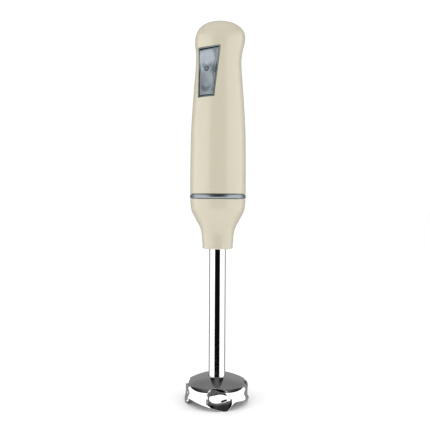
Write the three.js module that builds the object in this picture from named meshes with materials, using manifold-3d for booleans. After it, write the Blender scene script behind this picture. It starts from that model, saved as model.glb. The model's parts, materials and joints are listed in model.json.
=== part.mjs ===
// Immersion blender: a cream handle with the motor inside, and a chromed blending foot that
// twists off at a bayonet joint. Millimetres, +Z up. The origin is on the axis, in the plane
// that the four tips of the bell guard stand on. The button faces -Y and the cord inlet +Y.
import * as THREE from 'three';
import { mergeVertices } from 'three/addons/utils/BufferGeometryUtils.js';
import Module from 'manifold-3d';

const wasm = await Module();
wasm.setup();

// ---------------------------------------------------------------- driving dimensions
const GAP = 0.3; // between neighbouring pieces
const ROUND = 32; // facets round a large turned piece
const FINE = 12; // facets round a small turned piece
const TINY = 8; // facets round a pin or a screw

const TOTAL_HEIGHT = 376;
const CASING_FOOT_Z = 206.9; // lower edge of the handle casing
const WAIST_Z = 336; // narrowest place of the handle
const HEAD_RIM_Z = 360; // widest place of the head
const HEAD_SETBACK = 2.5; // the head leans back over the waist
const HEAD_TILT = 0.18; // rise of the head's rim per mm towards the back
const CASING_WALL = 2.4;

const WINDOW = { top: 349, bottom: 299.6, halfTop: 13, halfWaist: 10.8, halfBottom: 9.5, corner: 1 };
const BEZEL = { width: 1, back: -12.5, recess: 0.4, earInside: 6.9, earOutside: 10.2 };
const BUTTON_RECESS = 1.3; // button face below the casing surface
const BUTTON_THICK = 2.2;
const BUTTON_PIVOT = { y: -14.8, z: 325 };
const PIN_R = 1.2; // pivot pin
const STEM_R = 1.4; // switch plungers
const MARK = { z: 327, radius: 2, front: -21.1, back: -19.5 }; // round insert in the button
const PLUNGER_OFFSET = 12; // plunger axes above and below the pivot

const BAND = { bottom: 202.4, top: 206.5, radius: 27.9, bore: 25.5 };
const SOCKET = { bottom: 202.4, top: 218, radius: 25.1, bore: 20.5, groove: 23.4 };
const GROOVE = { bottom: 209.6, top: 214.4 };
const LUG = { bottom: 210, top: 214, radius: 22.9, width: 16 };
const TWIST = 30; // degrees from locked to the entry slots

const STACK = { bottom: 240, top: 268, radius: 21, bore: 13.2 }; // stator laminations
const BRACKET_LOW_Z = 219.5;
const BRACKET_HIGH_Z = 286;
const BRACKET_THICK = 4;
const SHAFT_R = 3; // rotor and drive shafts

const COLLAR = { bottom: 152.7, top: 201.9, wall: 2.3 };
const TUBE = { bottom: 26.1, top: 184, radius: 8.35, bore: 7.35 };
const GUARD = { base: 13.5, top: 25.8, skirt: 31.3, rim: 32.4, wall: 1.5 }; // base: the dome's widest ring
const HUB = { radius: 9.4, bore: 6.3, bottom: 13.4, top: 23.2 }; // sleeve inside the guard
const GUARD_SIDES = 60; // facets round the guard, so that each tip's flat is one facet
const GUARD_TURN = 31.5; // the guard's turn on the tube, degrees
const WINDOW_TURN = 2; // middle of an opening, degrees past the guard's own front
const TIP_END = 18; // right-hand end of a tip, degrees past the guard's own front
const TIP_ARC = 6; // width of the flat foot at each tip, degrees
const RIM_RISE = 7.6; // height of the scallops between the tips
const BLADE_Z = 10.3;
const BLADE_R = 22.5;
const BUSH_R = 6; // outside of both bushes and of the seal

const GLAND = { z: 352, radius: 6, bore: 3.5, flange: 7.6 };
const VENT = { pitch: 4.5, half: 1, bottom: 294, top: 308 };
const CLAMP_Z = 344; // cord clamp
const SCREW_X = 8; // clamp screws, left and right of the middle
const SIDES = [['left', -1], ['right', 1]];

// ---------------------------------------------------------------- finishes
function finish(color, roughness, metalness) {
  return new THREE.MeshStandardMaterial({ color, roughness, metalness });
}

const CREAM = finish(0xd9d2b9, 0.35, 0);
const SATIN_METAL = finish(0x9aa4aa, 0.35, 1);
const CHROME = finish(0xe8e8e8, 0.08, 1);
const SMOKE = finish(0x9fabb2, 0.25, 0);
const DARK_PLASTIC = finish(0x3a3d40, 0.5, 0);
const RUBBER = finish(0x26282a, 0.8, 0);
const STEEL = finish(0xb8bcc0, 0.3, 1);
const COPPER = finish(0xb5662c, 0.4, 1);
const BRASS = finish(0xb99a55, 0.35, 1);
const BOARD_GREEN = finish(0x2f6b45, 0.6, 0);
const CARBON = finish(0x2b2b2d, 0.7, 0);
const NYLON = finish(0xe9e7df, 0.5, 0);

// ---------------------------------------------------------------- solids
const radians = THREE.MathUtils.degToRad;
const smooth = THREE.MathUtils.smoothstep;
const v2 = (x, y) => new THREE.Vector2(x, y);

// Closed geometry to solid: merge shared vertices, drop collapsed triangles, face outwards.
function solidOf(geometry) {
  const bare = geometry.clone();
  bare.deleteAttribute('normal');
  bare.deleteAttribute('uv');
  const merged = mergeVertices(bare, 1e-4);
  const place = merged.getAttribute('position');
  const triangles = [];
  let volume = 0;
  for (let i = 0; i < merged.index.count; i += 3) {
    const [a, b, c] = [0, 1, 2].map((k) => merged.index.getX(i + k));
    if (a === b || b === c || c === a) continue;
    triangles.push(a, b, c);
    const [p, q, r] = [a, b, c].map((k) => new THREE.Vector3().fromBufferAttribute(place, k));
    volume += p.dot(q.cross(r));
  }
  if (volume < 0) triangles.reverse();
  return new wasm.Manifold(new wasm.Mesh({
    numProp: 3,
    vertProperties: new Float32Array(place.array),
    triVerts: new Uint32Array(triangles),
  }));
}

function geometryOf(solid) {
  const mesh = solid.getMesh();
  const geometry = new THREE.BufferGeometry();
  geometry.setAttribute('position', new THREE.BufferAttribute(mesh.vertProperties, 3));
  geometry.setIndex(new THREE.BufferAttribute(mesh.triVerts, 1));
  geometry.computeVertexNormals();
  return geometry;
}

// Profile of [radius, height] pairs or Vector2 points, turned about Z.
function turned(profile, sides = FINE) {
  const points = profile.map((p) => (p.isVector2 ? p : v2(...p)));
  return new THREE.LatheGeometry(points, sides).rotateX(Math.PI / 2);
}

const turnedSolid = (profile, sides) => solidOf(turned(profile, sides));

// Ring or tube: a rectangle that closes on itself, turned about Z.
function ring(inner, outer, bottom, top, sides = FINE) {
  return turnedSolid([[inner, bottom], [outer, bottom], [outer, top], [inner, top], [inner, bottom]], sides);
}

function rod(radius, bottom, top, sides = FINE) {
  return turnedSolid([[0, bottom], [radius, bottom], [radius, top], [0, top]], sides);
}

function box(low, high) {
  const size = high.map((v, i) => v - low[i]);
  const middle = high.map((v, i) => (v + low[i]) / 2);
  return solidOf(new THREE.BoxGeometry(...size).translate(...middle));
}

// A rod along X or Y through a point.
function crossRod(radius, length, axis, at, sides = FINE) {
  const geometry = new THREE.CylinderGeometry(radius, radius, length, sides);
  if (axis === 'x') geometry.rotateZ(Math.PI / 2);
  return solidOf(geometry.translate(...at));
}

// Part of a ring, centred on the direction `middle` (degrees from +X towards +Y).
function sector(inner, outer, middle, width, bottom, top) {
  const from = radians(middle - width / 2);
  const to = radians(middle + width / 2);
  const shape = new THREE.Shape();
  shape.absarc(0, 0, outer, from, to, false);
  shape.absarc(0, 0, inner, to, from, true);
  shape.closePath();
  const bar = new THREE.ExtrudeGeometry(shape, { depth: top - bottom, bevelEnabled: false, curveSegments: 4 });
  return solidOf(bar.translate(0, 0, bottom));
}

// A flat outline in the X-Z plane, given depth along Y.
function prism(shape, front, back) {
  const depth = back - front;
  const bar = new THREE.ExtrudeGeometry(shape, { depth, bevelEnabled: false, curveSegments: 5 });
  return solidOf(bar.rotateX(Math.PI / 2).translate(0, back, 0));
}

const union = (first, ...rest) => rest.reduce((sum, one) => sum.add(one), first);
const cut = (first, ...rest) => rest.reduce((left, one) => left.subtract(one), first);

// ---------------------------------------------------------------- the handle's outer form
// Side of the handle from the casing's foot over the waist to the head's rim.
const SIDE = new THREE.SplineCurve([
  v2(27.7, CASING_FOOT_Z), v2(27.6, 240), v2(27, 270), v2(25.1, 302),
  v2(22.8, 332), v2(22.9, 345), v2(24.8, 356), v2(25.1, HEAD_RIM_Z),
]);
// Crown of the head, rolling over from the rim to a nearly flat top.
const CROWN = new THREE.SplineCurve([
  v2(25.1, HEAD_RIM_Z), v2(23.9, 366.5), v2(20.2, 371.6), v2(13, 375.2), v2(0, TOTAL_HEIGHT),
]);

// The head leans back, and its rim is higher at the back than over the button.
function leanHead(geometry) {
  const place = geometry.getAttribute('position');
  for (let i = 0; i < place.count; i += 1) {
    const [y, z] = [place.getY(i), place.getZ(i)];
    const head = smooth(z, WAIST_Z, HEAD_RIM_Z);
    const rim = head * (1 - smooth(z, HEAD_RIM_Z, TOTAL_HEIGHT));
    place.setY(i, y + HEAD_SETBACK * head);
    place.setZ(i, z + HEAD_TILT * y * rim);
  }
  return geometry;
}

// The handle's form, `inset` inside the surface, closed by a flat end at `foot`.
function handleForm(inset, foot) {
  const crownScale = (TOTAL_HEIGHT - inset - HEAD_RIM_Z) / (TOTAL_HEIGHT - HEAD_RIM_Z);
  const side = SIDE.getSpacedPoints(10).map((p) => v2(p.x - inset, Math.max(p.y, foot)));
  const crown = CROWN.getSpacedPoints(5).slice(1).map(
    (p) => v2(Math.max(p.x - inset * Math.min(1, p.x / 13), 0), HEAD_RIM_Z + (p.y - HEAD_RIM_Z) * crownScale),
  );
  side[0].y = foot;
  crown[crown.length - 1].x = 0;
  return solidOf(leanHead(turned([v2(0, foot), ...side, ...crown], ROUND)));
}

// Button window: a tall rounded opening, wider at the top, with sides drawn in at the waist.
function windowShape(inset) {
  const { corner } = WINDOW;
  const [top, bottom] = [WINDOW.top - inset, WINDOW.bottom + inset];
  const [wideTop, waist, wideBottom] = [WINDOW.halfTop, WINDOW.halfWaist, WINDOW.halfBottom].map((v) => v - inset);
  const round = Math.max(corner - inset / 2, 0.5);
  const middle = (top + bottom) / 2;
  const shape = new THREE.Shape();
  shape.moveTo(-wideBottom + round, bottom);
  shape.lineTo(wideBottom - round, bottom);
  shape.quadraticCurveTo(wideBottom, bottom, wideBottom, bottom + round);
  shape.quadraticCurveTo(waist, middle, wideTop, top - round);
  shape.quadraticCurveTo(wideTop, top, wideTop - round, top);
  shape.lineTo(-wideTop + round, top);
  shape.quadraticCurveTo(-wideTop, top, -wideTop, top - round);
  shape.quadraticCurveTo(-waist, middle, -wideBottom, bottom + round);
  shape.quadraticCurveTo(-wideBottom, bottom, -wideBottom + round, bottom);
  return shape;
}

// ---------------------------------------------------------------- the model tree
const blender = new THREE.Group();
const handle = new THREE.Group();
const rotor = new THREE.Group();
const foot = new THREE.Group();
const drive = new THREE.Group();
blender.add(handle, foot);
handle.add(rotor);
foot.add(drive);

function place(group, name, solid, material, at = [0, 0, 0]) {
  const mesh = new THREE.Mesh(geometryOf(solid), material);
  mesh.name = name;
  mesh.position.set(...at);
  group.add(mesh);
  return mesh;
}

// ---------------------------------------------------------------- handle: casing and trim
function ventSlots() {
  const slots = [];
  for (let i = -2; i <= 2; i += 1) {
    const x = i * VENT.pitch;
    slots.push(box([x - VENT.half, 15, VENT.bottom], [x + VENT.half, 40, VENT.top]));
  }
  return slots;
}

function handleCasing() {
  const shell = cut(handleForm(0, CASING_FOOT_Z), handleForm(CASING_WALL, CASING_FOOT_Z - 5));
  const glandHole = crossRod(GLAND.radius + GAP, 20, 'y', [0, 30, GLAND.z]);
  return cut(shell, prism(windowShape(0), -45, -5), glandHole, ...ventSlots());
}

function bandRing() {
  const { bottom, top, radius, bore } = BAND;
  const crown = 0.5; // rounding of the outer edges
  return turnedSolid([
    [bore, bottom], [radius - crown, bottom], [radius, bottom + crown],
    [radius, top - crown], [radius - crown, top], [bore, top], [bore, bottom],
  ], ROUND);
}

// Bayonet socket: a bore with a groove inside, and two slots that let the lugs in from below.
function bayonetSocket() {
  const body = ring(SOCKET.bore, SOCKET.radius, SOCKET.bottom, SOCKET.top, ROUND);
  const groove = ring(SOCKET.bore - 1, SOCKET.groove, GROOVE.bottom, GROOVE.top, ROUND);
  const entries = [0, 180].map(
    (turn) => sector(SOCKET.bore - 1, SOCKET.groove, turn + TWIST, LUG.width + 4, SOCKET.bottom - 1, GROOVE.top),
  );
  const screwHoles = SIDES.map(([, side]) => rod(1.6, SOCKET.bottom - 1, SOCKET.top + 1, TINY)
    .translate([0, side * 22.9, 0]));
  return cut(body, groove, ...entries, ...screwHoles);
}

function placeTrim() {
  place(handle, 'handle_casing', handleCasing(), CREAM);
  place(handle, 'band_ring', bandRing(), SATIN_METAL);
  place(handle, 'bayonet_socket', bayonetSocket(), DARK_PLASTIC);
}

// ---------------------------------------------------------------- handle: button
function pinHole() {
  return crossRod(PIN_R + GAP, 30, 'x', [0, BUTTON_PIVOT.y, BUTTON_PIVOT.z], TINY);
}

// Frame round the button: a lining of the window, with two ears that carry the pivot pin.
function buttonBezel() {
  const { width, back, recess, earInside, earOutside } = BEZEL;
  const outer = prism(windowShape(GAP), -45, back);
  const middle = prism(windowShape(GAP + width), -46, back + 1);
  const lining = cut(outer, middle).intersect(handleForm(recess, 250));
  const ears = SIDES.map(([, side]) => {
    const [inside, outside] = [side * earInside, side * earOutside];
    return box(
      [Math.min(inside, outside), BUTTON_PIVOT.y - 2.1, BUTTON_PIVOT.z - 2.4],
      [Math.max(inside, outside), back, BUTTON_PIVOT.z + 2.4],
    );
  });
  return cut(union(lining, ...ears), pinHole());
}

// Rocker: a curved plate that follows the casing, with a rib behind for the pin.
function buttonRocker() {
  const skin = cut(handleForm(BUTTON_RECESS, 250), handleForm(BUTTON_RECESS + BUTTON_THICK, 240));
  const plate = skin.intersect(prism(windowShape(BEZEL.width + 1), -45, -8));
  const ribHalf = BEZEL.earInside - 0.5;
  const rib = box(
    [-ribHalf, -20, BUTTON_PIVOT.z - 2.6],
    [ribHalf, BUTTON_PIVOT.y + 2, BUTTON_PIVOT.z + 2.6],
  );
  const mark = crossRod(MARK.radius + GAP, 6, 'y', [0, MARK.back - 2.5, MARK.z], FINE);
  return cut(union(plate, rib), pinHole(), mark);
}

function placeButton() {
  const { y, z } = BUTTON_PIVOT;
  place(handle, 'button_bezel', buttonBezel(), SMOKE);
  place(handle, 'button_rocker', buttonRocker(), SMOKE);
  const lens = crossRod(MARK.radius, MARK.back - MARK.front, 'y', [0, 0, 0]);
  place(handle, 'button_mark_lens', lens, NYLON, [0, (MARK.front + MARK.back) / 2, MARK.z]);
  place(handle, 'button_pin', crossRod(PIN_R, 17.6, 'x', [0, 0, 0], TINY), STEEL, [0, y, z]);
  const levels = [['lower', -1, -20.3], ['upper', 1, -18.8]];
  for (const [level, side, tip] of levels) {
    const back = -11.6;
    const at = [0, (tip + back) / 2, z + side * PLUNGER_OFFSET];
    const bar = crossRod(STEM_R, back - tip, 'y', [0, 0, 0], TINY);
    place(handle, `switch_plunger_${level}`, bar, DARK_PLASTIC, at);
    const body = cut(
      box([-6, -13.6, -4], [6, -8.4, 4]),
      crossRod(STEM_R + GAP, 4.4, 'y', [0, -12.4, 0], TINY),
    );
    place(handle, `switch_body_${level}`, body, DARK_PLASTIC, [0, 0, z + side * PLUNGER_OFFSET]);
  }
}

// ---------------------------------------------------------------- handle: board and cord inlet
function boardCarrier() {
  const plate = box([-12, -5.9, 296], [12, -3.9, 360]);
  const bosses = SIDES.map(([, side]) => crossRod(2.6, 11, 'y', [side * SCREW_X, 1, CLAMP_Z]));
  const pilots = SIDES.map(([, side]) => crossRod(1.2, 12, 'y', [side * SCREW_X, 2.5, CLAMP_Z]));
  return cut(union(plate, ...bosses), ...pilots);
}

function cordGland() {
  const outside = crossRod(GLAND.flange, 2.6, 'y', [0, 28, GLAND.z]);
  const neck = crossRod(GLAND.radius, 9, 'y', [0, 24.6, GLAND.z]);
  const hole = crossRod(GLAND.bore, 30, 'y', [0, 25, GLAND.z]);
  return cut(union(neck, outside), handleFlangeGap(), hole);
}

// Space kept between the gland's outer flange and the casing.
function handleFlangeGap() {
  const skin = cut(handleForm(-0.25, 250), handleForm(CASING_WALL + 0.3, 240));
  return cut(skin, crossRod(GLAND.radius, 60, 'y', [0, 25, GLAND.z]));
}

function placeElectrics() {
  place(handle, 'board_carrier', boardCarrier(), DARK_PLASTIC);
  place(handle, 'control_board', box([-11, -8.1, 298], [11, -6.2, 352]), BOARD_GREEN);
  place(handle, 'cord_gland', cordGland(), RUBBER);
  const holes = SIDES.map(([, side]) => crossRod(1.5, 10, 'y', [side * SCREW_X, 0, 0]));
  const clamp = cut(box([-11, -1.5, -3], [11, 1.5, 3]), ...holes);
  place(handle, 'cord_clamp', clamp, NYLON, [0, 8.4, CLAMP_Z]);
  for (const [name, side] of SIDES) {
    const bolt = solidOf(turned([
      [0, -3.4], [0.9, -2.4], [0.9, 6], [0, 6],
    ], TINY).rotateX(-Math.PI / 2));
    const head = solidOf(turned([[0, 6], [2.3, 6], [2.3, 7.4], [1.6, 8], [0, 8]], TINY).rotateX(-Math.PI / 2));
    place(handle, `clamp_screw_${name}`, union(bolt, head), STEEL, [side * SCREW_X, 4.2, CLAMP_Z]);
  }
}

// ---------------------------------------------------------------- handle: motor
const COIL = { inner: 13.9, outer: 17.6, width: 70, bottom: 236, top: 272 };

function statorCore() {
  const stack = ring(STACK.bore, STACK.radius, STACK.bottom, STACK.top, ROUND);
  const slots = [0, 180].map(
    (turn) => sector(STACK.bore - 1, COIL.outer + GAP, turn, COIL.width + 6, STACK.bottom - 1, STACK.top + 1),
  );
  return cut(stack, ...slots);
}

function bracket(bottom, seat) {
  const plate = rod(STACK.radius, bottom, bottom + BRACKET_THICK, ROUND);
  const openings = [45, 135, 225, 315].map((turn) => sector(10.5, 17.5, turn, 52, bottom - 1, bottom + 8));
  return cut(plate, rod(seat + GAP, bottom - 1, bottom + 8), ...openings);
}

// Open coil spring of round wire, along Y.
function pushSpring(radius, wire, length, turns) {
  class Helix extends THREE.Curve {
    getPoint(t, target = new THREE.Vector3()) {
      const angle = t * turns * Math.PI * 2;
      return target.set(radius * Math.cos(angle), t * length, radius * Math.sin(angle));
    }
  }
  const section = new THREE.Shape().absarc(0, 0, wire, 0, Math.PI * 2);
  return solidOf(new THREE.ExtrudeGeometry(section, {
    steps: turns * 7, extrudePath: new Helix(), curveSegments: 2, bevelEnabled: false,
  }));
}

// A brush, its holder and its spring, on each side of the commutator.
function placeBrushes() {
  const z = 279.5;
  for (const [name, side] of SIDES) {
    const turn = side > 0 ? 0 : Math.PI;
    const holder = cut(box([-3, 7.6, -4.6], [3, 17.6, 4.6]), box([-1.8, 7, -3.3], [1.8, 16.6, 3.3]));
    const brush = box([-1.5, 6.1, -3], [1.5, 11.6, 3]);
    const spring = pushSpring(1.1, 0.3, 3.8, 4).translate([0, 12.2, 0]);
    const set = [['brush_holder', holder, BRASS], ['brush', brush, CARBON], ['brush_spring', spring, STEEL]];
    for (const [piece, solid, material] of set) {
      place(handle, `${piece}_${name}`, solid, material, [0, 0, z]).rotation.z = turn;
    }
  }
}

function placeMotor() {
  const lowSeat = 6.5;
  place(handle, 'stator_core', statorCore(), STEEL);
  for (const [name, side] of SIDES) {
    const coil = sector(COIL.inner, COIL.outer, side > 0 ? 0 : 180, COIL.width, COIL.bottom, COIL.top);
    place(handle, `field_coil_${name}`, coil, COPPER);
  }
  place(handle, 'motor_bracket_lower', bracket(BRACKET_LOW_Z, lowSeat), DARK_PLASTIC);
  place(handle, 'motor_bracket_upper', bracket(BRACKET_HIGH_Z, lowSeat), DARK_PLASTIC);
  for (const [name, z] of [['lower', BRACKET_LOW_Z], ['upper', BRACKET_HIGH_Z]]) {
    place(handle, `bearing_${name}`, ring(SHAFT_R + GAP, lowSeat, 0.3, 3.7), STEEL, [0, 0, z]);
  }
  place(handle, 'rubber_mount_lower', ring(STACK.radius + GAP, 24.4, 0, 4, ROUND), RUBBER, [0, 0, BRACKET_LOW_Z]);
  place(handle, 'rubber_mount_upper', ring(STACK.radius + GAP, 23.2, 0, 4, ROUND), RUBBER, [0, 0, BRACKET_HIGH_Z]);
  placeBrushes();
}

// ---------------------------------------------------------------- rotor
function coolingFan() {
  const plate = ring(SHAFT_R + GAP, 17.5, 226, 227.2);
  const hub = ring(SHAFT_R + GAP, 5.5, 226, 232);
  const vanes = [];
  for (let i = 0; i < 9; i += 1) {
    vanes.push(box([5, -0.5, 226.5], [17, 0.5, 232]).rotate([0, 0, i * 40 + 8]));
  }
  return union(plate, hub, ...vanes);
}

const DOG = { inner: 4, outer: 9, width: 50 };

// Half of the dog clutch: a disc with two teeth, `up` or down.
function dogHalf(disc, teeth, bore, turn) {
  const parts = [turn, turn + 180].map((a) => sector(DOG.inner, DOG.outer, a, DOG.width, teeth[0], teeth[1]));
  return cut(union(rod(DOG.outer, disc[0], disc[1]), ...parts), rod(bore, disc[0] - 9, disc[1] + 9));
}

function placeRotor() {
  const core = [];
  for (let i = 0; i < 12; i += 1) core.push(rod(1.5, STACK.bottom - 1, STACK.top + 1, 6).translate([11.9, 0, 0])
    .rotate([0, 0, i * 30]));
  const lamination = cut(ring(SHAFT_R + GAP, 12.6, STACK.bottom, STACK.top, ROUND), ...core);
  place(rotor, 'armature_core', lamination, STEEL);
  place(rotor, 'armature_winding', ring(4.2, 11.2, 0, 6, FINE), COPPER, [0, 0, STACK.top + GAP]);
  place(rotor, 'commutator', ring(SHAFT_R + GAP, 5.8, 275.2, 284), BRASS);
  place(rotor, 'armature_shaft', rod(SHAFT_R, 212.4, 292), STEEL);
  place(rotor, 'cooling_fan', coolingFan(), NYLON);
  place(rotor, 'motor_coupler', dogHalf([210, 217], [206.6, 210.5], SHAFT_R + GAP, 90), NYLON);
}

// ---------------------------------------------------------------- foot
function footCollar() {
  const outside = new THREE.SplineCurve([
    v2(15.1, COLLAR.bottom + 2), v2(15.2, 159), v2(16.9, 171.5), v2(22.2, 182.5),
    v2(26.2, 190.5), v2(27.4, 198), v2(27.5, COLLAR.top),
  ]).getSpacedPoints(10);
  const { wall, bottom, top } = COLLAR;
  const roundedEdge = [v2(13.1, bottom), v2(14.4, bottom + 0.5)];
  const form = turnedSolid([v2(0, bottom), ...roundedEdge, ...outside, v2(0, top)], ROUND);
  const inside = outside.slice(3).map((p) => v2(p.x - wall, p.y));
  const hollow = turnedSolid([v2(0, inside[0].y), ...inside, v2(27.5 - wall, top + 1), v2(0, top + 1)], ROUND);
  return cut(form, hollow, rod(TUBE.radius + GAP, bottom - 1, top, ROUND));
}

// Spigot: a plate that closes the collar, a short tube with two lugs, and the top bush's seat.
function bayonetSpigot() {
  const plate = rod(24.8, 196.4, 201.8, ROUND);
  const tube = ring(17.6, 20.1, 201, 214, ROUND);
  const lugs = [0, 180].map((turn) => sector(19.5, LUG.radius, turn, LUG.width, LUG.bottom, LUG.top));
  const well = rod(17.6, 199.2, 220, ROUND);
  const hub = rod(8.4, 188, 200, FINE);
  return cut(union(cut(union(plate, tube), well), ...lugs, hub), rod(BUSH_R + GAP, 180, 199, FINE), rod(3.6, 190, 210));
}

// Height of the guard's rim at `turn` degrees past the right-hand end of a tip.
function rimHeight(turn) {
  const rise = 18;
  const fall = 90 - rise - TIP_ARC;
  if (turn < rise) return RIM_RISE * Math.sin((Math.PI / 2) * (turn / rise));
  return RIM_RISE * (1 - Math.min((turn - rise) / fall, 1) ** 1.4);
}

// Everything under the rim: a ring whose upper face follows the scallops.
function rimCutter() {
  const steps = GUARD_SIDES;
  const [inner, outer, floor] = [20, 40, -10];
  const points = [];
  for (let i = 0; i < steps; i += 1) {
    const degrees = (i * 360) / steps;
    const angle = radians(degrees - 90);
    const top = rimHeight((degrees + 360 - TIP_END) % 90);
    for (const [radius, z] of [[inner, floor], [outer, floor], [outer, top], [inner, top]]) {
      points.push(radius * Math.cos(angle), radius * Math.sin(angle), z);
    }
  }
  const index = [];
  for (let i = 0; i < steps; i += 1) {
    const [here, next] = [i * 4, ((i + 1) % steps) * 4];
    for (let k = 0; k < 4; k += 1) {
      const l = (k + 1) % 4;
      index.push(here + k, next + k, next + l, here + k, next + l, here + l);
    }
  }
  const geometry = new THREE.BufferGeometry();
  geometry.setAttribute('position', new THREE.Float32BufferAttribute(points, 3));
  geometry.setIndex(index);
  return solidOf(geometry);
}

// One opening of the guard: an arch over a tongue that points left, and a slit under it.
function guardOpening() {
  const shape = new THREE.Shape();
  shape.moveTo(-9.9, 6.8);
  shape.lineTo(-9.9, 15.5);
  shape.quadraticCurveTo(-9.2, 20.8, -2.5, 20.8);
  shape.quadraticCurveTo(5, 20.8, 9.3, 17.9);
  shape.lineTo(1.7, 16.8);
  shape.lineTo(-6.1, 15);
  shape.quadraticCurveTo(-8.8, 14.2, -8.8, 11.9);
  shape.quadraticCurveTo(-8.4, 8.1, -3.4, 7.7);
  shape.quadraticCurveTo(2.6, 7.4, 11.4, 11.2);
  shape.quadraticCurveTo(3, 6.1, -3.4, 6.4);
  shape.quadraticCurveTo(-7.4, 6.4, -9.9, 6.8);
  return shape;
}

function bellGuard() {
  const { base, top, skirt, rim, wall } = GUARD;
  const dome = (outer, height, sides) => {
    const points = [];
    for (let i = 0; i <= sides; i += 1) {
      const angle = (i / sides) * (Math.PI / 2);
      points.push(v2(outer * Math.cos(angle), base + height * Math.sin(angle)));
    }
    return points;
  };
  const keep = (points, low) => points.filter((p) => p.x > low);
  const outside = keep(dome(skirt, top - base, 7), HUB.radius);
  const inside = keep(dome(skirt - wall, top - base - wall, 5), HUB.radius).reverse();
  const body = turnedSolid([
    v2(rim, -1), v2(rim, 8.6), v2(skirt + 0.3, 9.6), ...outside,
    v2(TUBE.radius + 0.4, top - 0.5), v2(HUB.bore, top - 0.5),
    v2(HUB.bore, HUB.bottom), v2(HUB.radius, HUB.bottom), v2(HUB.radius, HUB.top), ...inside,
    v2(rim - wall, 8), v2(rim - wall, -1), v2(rim, -1),
  ], GUARD_SIDES);
  const cutters = [0, 90, 180, 270].map(
    (turn) => prism(guardOpening(), -45, -16).rotate([0, 0, WINDOW_TURN + turn]),
  );
  const below = box([-50, -50, -9], [50, 50, 0]);
  return cut(body, ...cutters, rimCutter(), below);
}

function placeFoot() {
  place(foot, 'foot_collar', footCollar(), CREAM);
  place(foot, 'bayonet_spigot', bayonetSpigot(), DARK_PLASTIC);
  place(foot, 'shaft_tube', ring(TUBE.bore, TUBE.radius, TUBE.bottom, TUBE.top, ROUND), CHROME);
  place(foot, 'tube_snap_ring', ring(TUBE.radius + GAP, 11.4, 0, 1.6), STEEL, [0, 0, 172.2]);
  place(foot, 'bell_guard', bellGuard(), CHROME).rotation.z = radians(GUARD_TURN);
  place(foot, 'upper_bush', ring(SHAFT_R + GAP, BUSH_R, 0, 8), BRASS, [0, 0, 190.4]);
  place(foot, 'lower_bush', ring(SHAFT_R + GAP, BUSH_R, 0, 8.4), BRASS, [0, 0, 16.6]);
  place(foot, 'shaft_seal', ring(SHAFT_R + GAP, BUSH_R, 0, 2.4), RUBBER, [0, 0, 13.8]);
}

// ---------------------------------------------------------------- drive: shaft and blade
// Two-winged blade: one wing turned up and one down, each ground to an edge.
function blade() {
  const thick = 1.2;
  const outline = new THREE.Shape();
  outline.moveTo(0, -5.5);
  outline.quadraticCurveTo(13, -6.5, BLADE_R - 1.5, -1.5);
  outline.quadraticCurveTo(BLADE_R, 1, BLADE_R - 3, 4.5);
  outline.quadraticCurveTo(13, 2.5, 0, 5.5);
  const wing = solidOf(new THREE.ExtrudeGeometry(outline, { depth: thick, bevelEnabled: false, curveSegments: 8 }));
  const bent = [1, -1].map((side) => {
    const raised = wing.warp((p) => {
      const out = Math.max(p[0] - 8, 0);
      p[2] += side * out * out * 0.012;
    });
    return side > 0 ? raised : raised.rotate([0, 0, 180]);
  });
  return cut(union(...bent, rod(6.2, 0, thick)), rod(SHAFT_R + GAP, -2, 4));
}

function placeDrive() {
  const nutFoot = 6.6;
  place(drive, 'drive_shaft', rod(SHAFT_R, nutFoot + 0.6, 203.4), STEEL);
  place(drive, 'drive_coupler', dogHalf([203.7, 206.2], [206, 209.4], 0.6, 0), NYLON);
  place(drive, 'blade', blade(), STEEL, [0, 0, BLADE_Z]);
  place(drive, 'blade_spacer', ring(SHAFT_R + GAP, 5.2, 0, 1.6), STEEL, [0, 0, BLADE_Z + 1.5]);
  const nut = new THREE.CylinderGeometry(5, 5, 3.4, 6).rotateX(Math.PI / 2).translate(0, 0, 1.7);
  place(drive, 'blade_nut', cut(solidOf(nut), rod(SHAFT_R + GAP, -1, 5)), STEEL, [0, 0, nutFoot]);
}

placeTrim();
placeButton();
placeElectrics();
placeMotor();
placeRotor();
placeFoot();
placeDrive();

export default blender;
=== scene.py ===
# %% [markdown]
# # A stick blender, finished in Blender
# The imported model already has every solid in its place: casing, band, collar, tube, bell guard,
# blade and the works inside. This lesson gives it its looks. The turned and moulded skins are
# remade as fine meshes in the same places, and every piece gets a material built from nodes.
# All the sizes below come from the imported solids, so nothing has to be fitted by eye.

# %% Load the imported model
import json
import math

import bpy
import numpy as np
from mathutils import Matrix, Vector
from mathutils.geometry import delaunay_2d_cdt


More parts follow.
